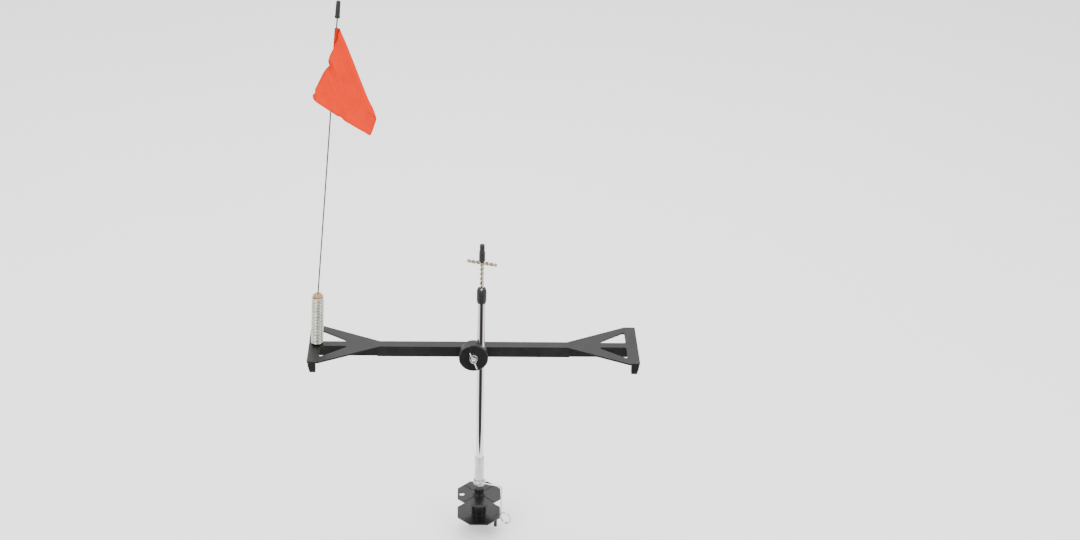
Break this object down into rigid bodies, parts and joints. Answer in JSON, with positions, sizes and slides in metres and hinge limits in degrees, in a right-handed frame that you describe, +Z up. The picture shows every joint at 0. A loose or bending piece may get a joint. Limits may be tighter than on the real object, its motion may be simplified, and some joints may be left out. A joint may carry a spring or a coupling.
{
  "type": "ice fishing tip up",
  "caption": "Ice fishing tip up: black beam with spread ends, clamped tube with line spool and T trigger, and an orange flag on a coil spring.",
  "frame": {"origin": "on the ice under the beam's feet, midway along the beam", "axes": "+X along the beam away from the flag, +Z up, -Y towards the tube's side"},
  "size_m": [0.538, 0.12, 0.9306],
  "materials": {
    "black_plastic": "moulded, satin",
    "gloss_black": "moulded, glossy",
    "black_rubber": "matt",
    "chrome": "polished",
    "zinc": "bright zinc",
    "alloy": "satin turned",
    "bright_wire": "bright drawn wire",
    "trigger_wire": "nickelled twisted wire",
    "spring_wire": "nickel silver tone",
    "rod_steel": "drawn wire",
    "bush_plastic": "moulded",
    "plug_tan": "moulded",
    "flag_cloth": "woven nylon"
  },
  "bodies": {
    "frame": {"beam": "black_plastic", "clamp_bolt": "zinc", "flag_spring": "spring_wire", "spring_anchor": "black_plastic", "anchor_screw": "zinc"},
    "clamp": {"clamp_disc": "black_plastic"},
    "tube": {"tube": "chrome", "top_collar": "black_plastic", "upper_bush": "bush_plastic", "upper_seal": "black_rubber", "lower_ferrule": "alloy", "lower_bush": "bush_plastic", "lower_seal": "black_rubber", "line_guide": "bright_wire"},
    "spindle": {"spindle_rod": "zinc", "trigger": "trigger_wire", "trigger_sleeve": "black_rubber", "spool_upper": "gloss_black", "spool_lower": "gloss_black", "spool_nut": "black_plastic", "crank_peg": "black_plastic"},
    "washer": {"clamp_washer": "zinc"},
    "nut": {"wing_nut": "zinc"},
    "flag": {"spring_plug": "plug_tan", "flag_rod": "rod_steel", "tip_cap": "black_rubber", "flag": "flag_cloth"}
  },
  "joints": [
    {"name": "tube_fold", "type": "hinge", "parent": "frame", "child": "clamp", "pos_m": [0, 0, 0.01025], "axis": [0, -1, 0], "range_deg": [0, 78]},
    {"name": "tube_slide", "type": "slide", "parent": "clamp", "child": "tube", "axis": [0, 0, -1], "range_m": [0, 0.066]},
    {"name": "spool_spin", "type": "hinge", "parent": "tube", "child": "spindle", "pos_m": [0.012, -0.01855, 0], "axis": [0, 0, 1], "continuous": true},
    {"name": "washer_slide", "type": "slide", "parent": "frame", "child": "washer", "axis": [0, -1, 0], "range_m": [0, 0.00254]},
    {"name": "wing_nut_turn", "type": "hinge", "parent": "washer", "child": "nut", "pos_m": [0, -0.03, 0.01025], "axis": [0, -1, 0], "range_deg": [0, 720]},
    {"name": "flag_fold", "type": "hinge", "parent": "frame", "child": "flag", "pos_m": [-0.25389, 0, 0.06326], "axis": [0, 1, 0], "range_deg": [0, 84], "stiffness_Nm_per_rad": 0.5, "deforming": ["flag_spring", "flag"]}
  ],
  "couplings": [
    {"joint": "wing_nut_turn", "follows": "washer_slide", "rad_per_m": 4947.3}
  ]
}
